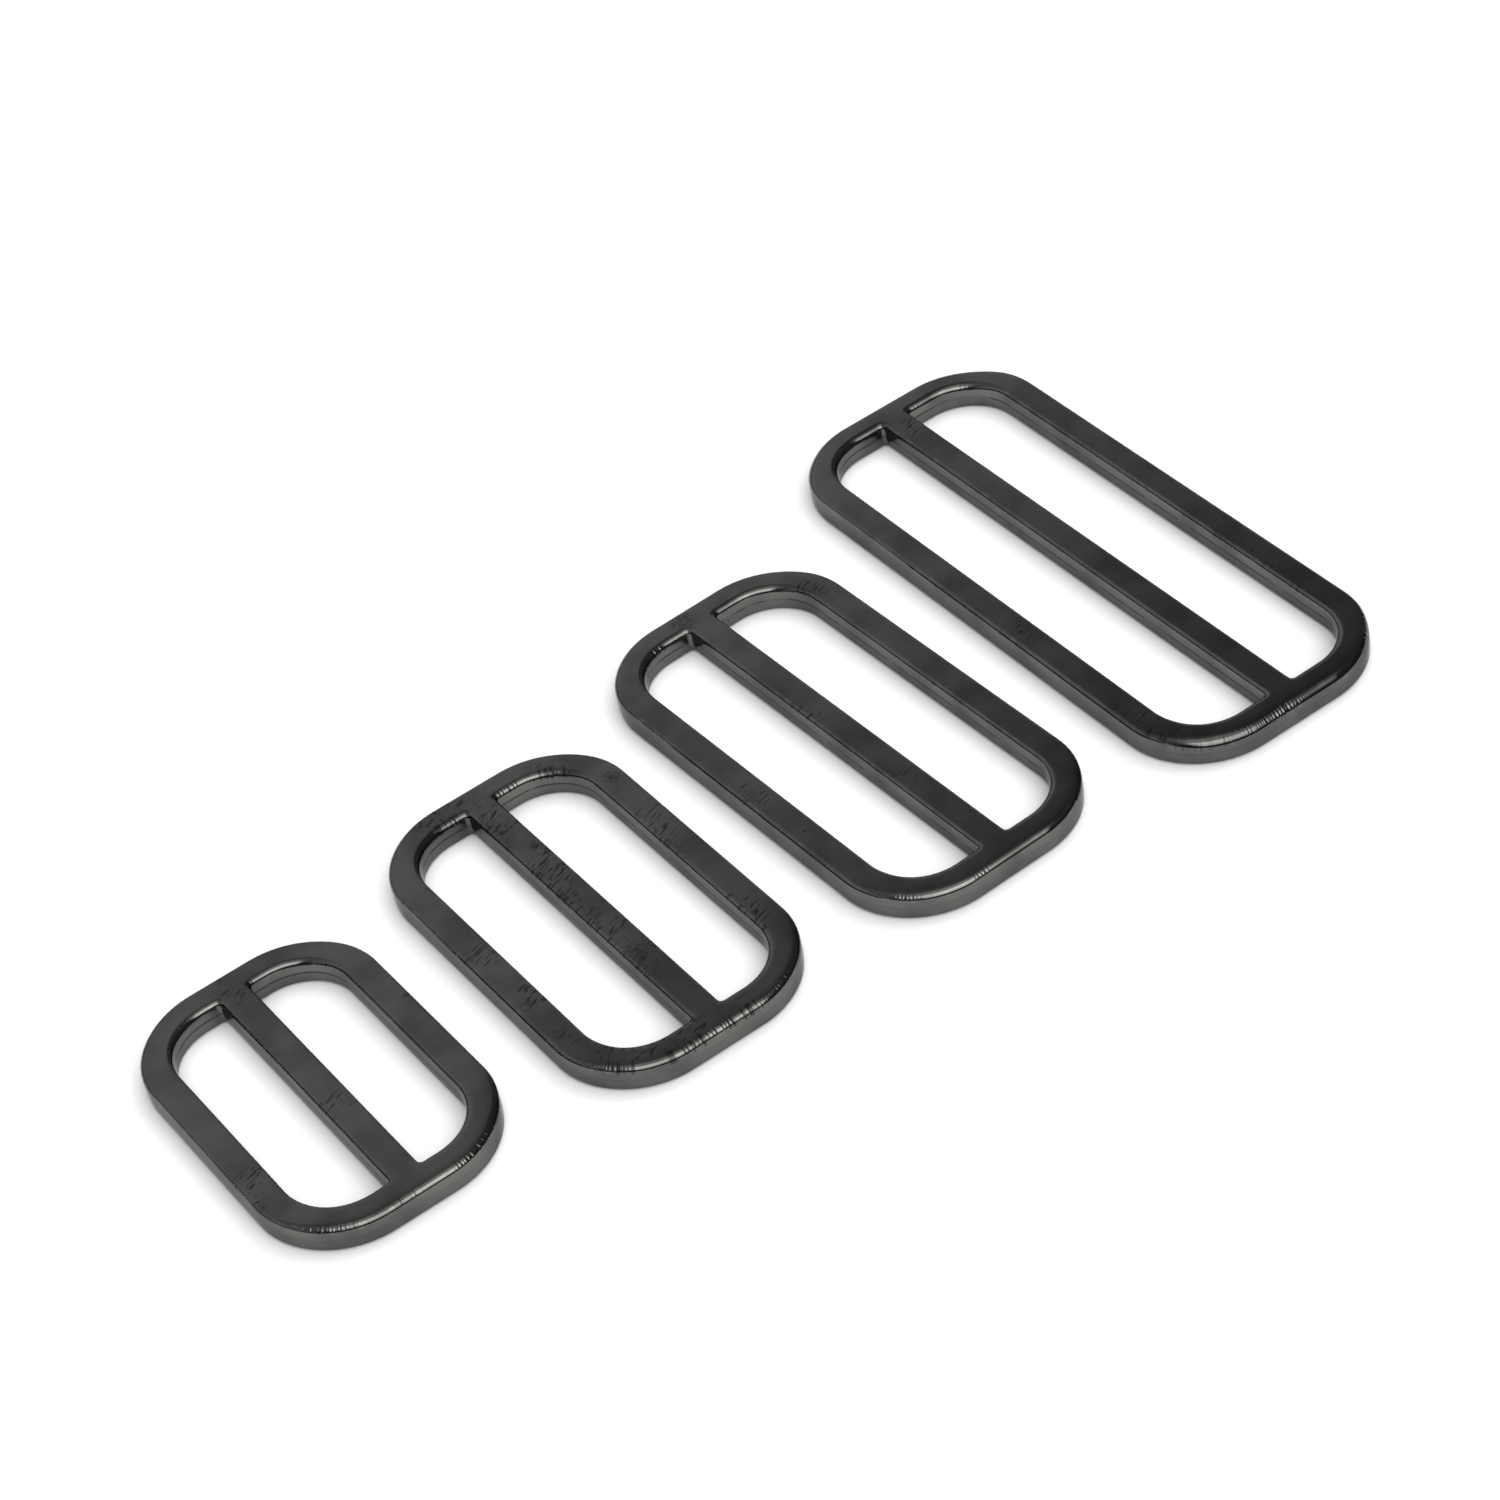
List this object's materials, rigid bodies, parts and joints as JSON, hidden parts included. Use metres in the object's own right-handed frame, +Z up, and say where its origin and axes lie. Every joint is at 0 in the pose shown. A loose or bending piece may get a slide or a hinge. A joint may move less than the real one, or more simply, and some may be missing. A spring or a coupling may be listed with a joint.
{
  "type": "strap slider set",
  "caption": "Flat rounded metal strap adjusters in a graded row, each a frame with a fixed centre bar that leaves slots for webbing.",
  "frame": {"origin": "middle of the row's footprint on the table, under the sliders", "axes": "+X along the row from the narrowest slider to the widest, +Y along the slots, +Z up from the table"},
  "size_m": [0.08, 0.0446, 0.0019],
  "materials": {
    "black_nickel": "satin"
  },
  "bodies": {
    "slider_40mm": {"slider_40mm": "black_nickel"},
    "slider_30mm": {"slider_30mm": "black_nickel"},
    "slider_25mm": {"slider_25mm": "black_nickel"},
    "slider_20mm": {"slider_20mm": "black_nickel"}
  },
  "joints": [
    {"name": "lift_20mm", "type": "slide", "parent": "slider_40mm", "child": "slider_20mm", "axis": [0, 0, 1], "range_m": [0, 0.03]},
    {"name": "lift_25mm", "type": "slide", "parent": "slider_40mm", "child": "slider_25mm", "axis": [0, 0, 1], "range_m": [0, 0.03]},
    {"name": "lift_30mm", "type": "slide", "parent": "slider_40mm", "child": "slider_30mm", "axis": [0, 0, 1], "range_m": [0, 0.03]}
  ]
}
